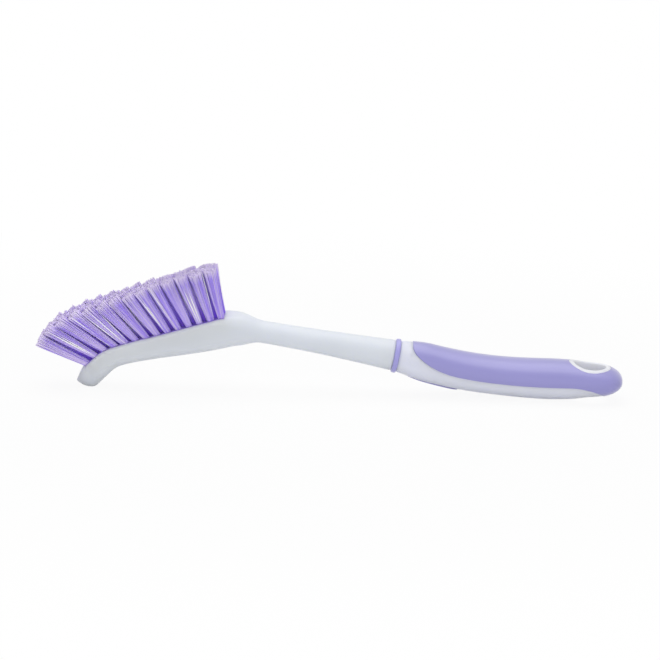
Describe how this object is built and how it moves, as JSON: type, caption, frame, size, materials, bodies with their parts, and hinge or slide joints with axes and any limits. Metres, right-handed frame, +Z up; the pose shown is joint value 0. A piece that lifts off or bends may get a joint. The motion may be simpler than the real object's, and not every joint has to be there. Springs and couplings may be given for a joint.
{
  "type": "tile brush",
  "caption": "Long-handled cleaning brush with a curved scraper-nosed head, fanned staggered bristle tufts, a soft overmoulded grip, a neck band and an oval hang hole.",
  "frame": {"origin": "on the surface that the brush lies on, under the middle of its bounding box", "axes": "+X along the brush from the bristle head to the tail of the handle, +Z up with the bristles pointing up, +Y across"},
  "size_m": [0.269, 0.0252, 0.0587],
  "materials": {
    "white_plastic": "frosted, satin",
    "lilac_grip": "soft satin thermoplastic rubber",
    "lilac_band": "soft satin thermoplastic rubber",
    "lilac_pad": "soft matte thermoplastic rubber",
    "lilac_bristle": "smooth extruded filament"
  },
  "bodies": {
    "root": {"core": "white_plastic", "soft_grip": "lilac_grip", "neck_band": "lilac_band", "finger_pad": "lilac_pad", "tuft_row1_01": "lilac_bristle", "tuft_row1_02": "lilac_bristle", "tuft_row1_03": "lilac_bristle", "tuft_row1_04": "lilac_bristle", "tuft_row1_05": "lilac_bristle", "tuft_row1_06": "lilac_bristle", "tuft_row1_07": "lilac_bristle", "tuft_row1_08": "lilac_bristle", "tuft_row1_09": "lilac_bristle", "tuft_row1_10": "lilac_bristle", "tuft_row1_11": "lilac_bristle", "tuft_row1_12": "lilac_bristle", "tuft_row1_13": "lilac_bristle", "tuft_row1_14": "lilac_bristle", "tuft_row2_01": "lilac_bristle", "tuft_row2_02": "lilac_bristle", "tuft_row2_03": "lilac_bristle", "tuft_row2_04": "lilac_bristle", "tuft_row2_05": "lilac_bristle", "tuft_row2_06": "lilac_bristle", "tuft_row2_07": "lilac_bristle", "tuft_row2_08": "lilac_bristle", "tuft_row2_09": "lilac_bristle", "tuft_row2_10": "lilac_bristle", "tuft_row2_11": "lilac_bristle", "tuft_row2_12": "lilac_bristle", "tuft_row2_13": "lilac_bristle", "tuft_row3_01": "lilac_bristle", "tuft_row3_02": "lilac_bristle", "tuft_row3_03": "lilac_bristle", "tuft_row3_04": "lilac_bristle", "tuft_row3_05": "lilac_bristle", "tuft_row3_06": "lilac_bristle", "tuft_row3_07": "lilac_bristle", "tuft_row3_08": "lilac_bristle", "tuft_row3_09": "lilac_bristle", "tuft_row3_10": "lilac_bristle", "tuft_row3_11": "lilac_bristle", "tuft_row3_12": "lilac_bristle", "tuft_row3_13": "lilac_bristle", "tuft_row3_14": "lilac_bristle", "tuft_row4_01": "lilac_bristle", "tuft_row4_02": "lilac_bristle", "tuft_row4_03": "lilac_bristle", "tuft_row4_04": "lilac_bristle", "tuft_row4_05": "lilac_bristle", "tuft_row4_06": "lilac_bristle", "tuft_row4_07": "lilac_bristle", "tuft_row4_08": "lilac_bristle", "tuft_row4_09": "lilac_bristle", "tuft_row4_10": "lilac_bristle", "tuft_row4_11": "lilac_bristle", "tuft_row4_12": "lilac_bristle", "tuft_row4_13": "lilac_bristle"}
  },
  "joints": []
}
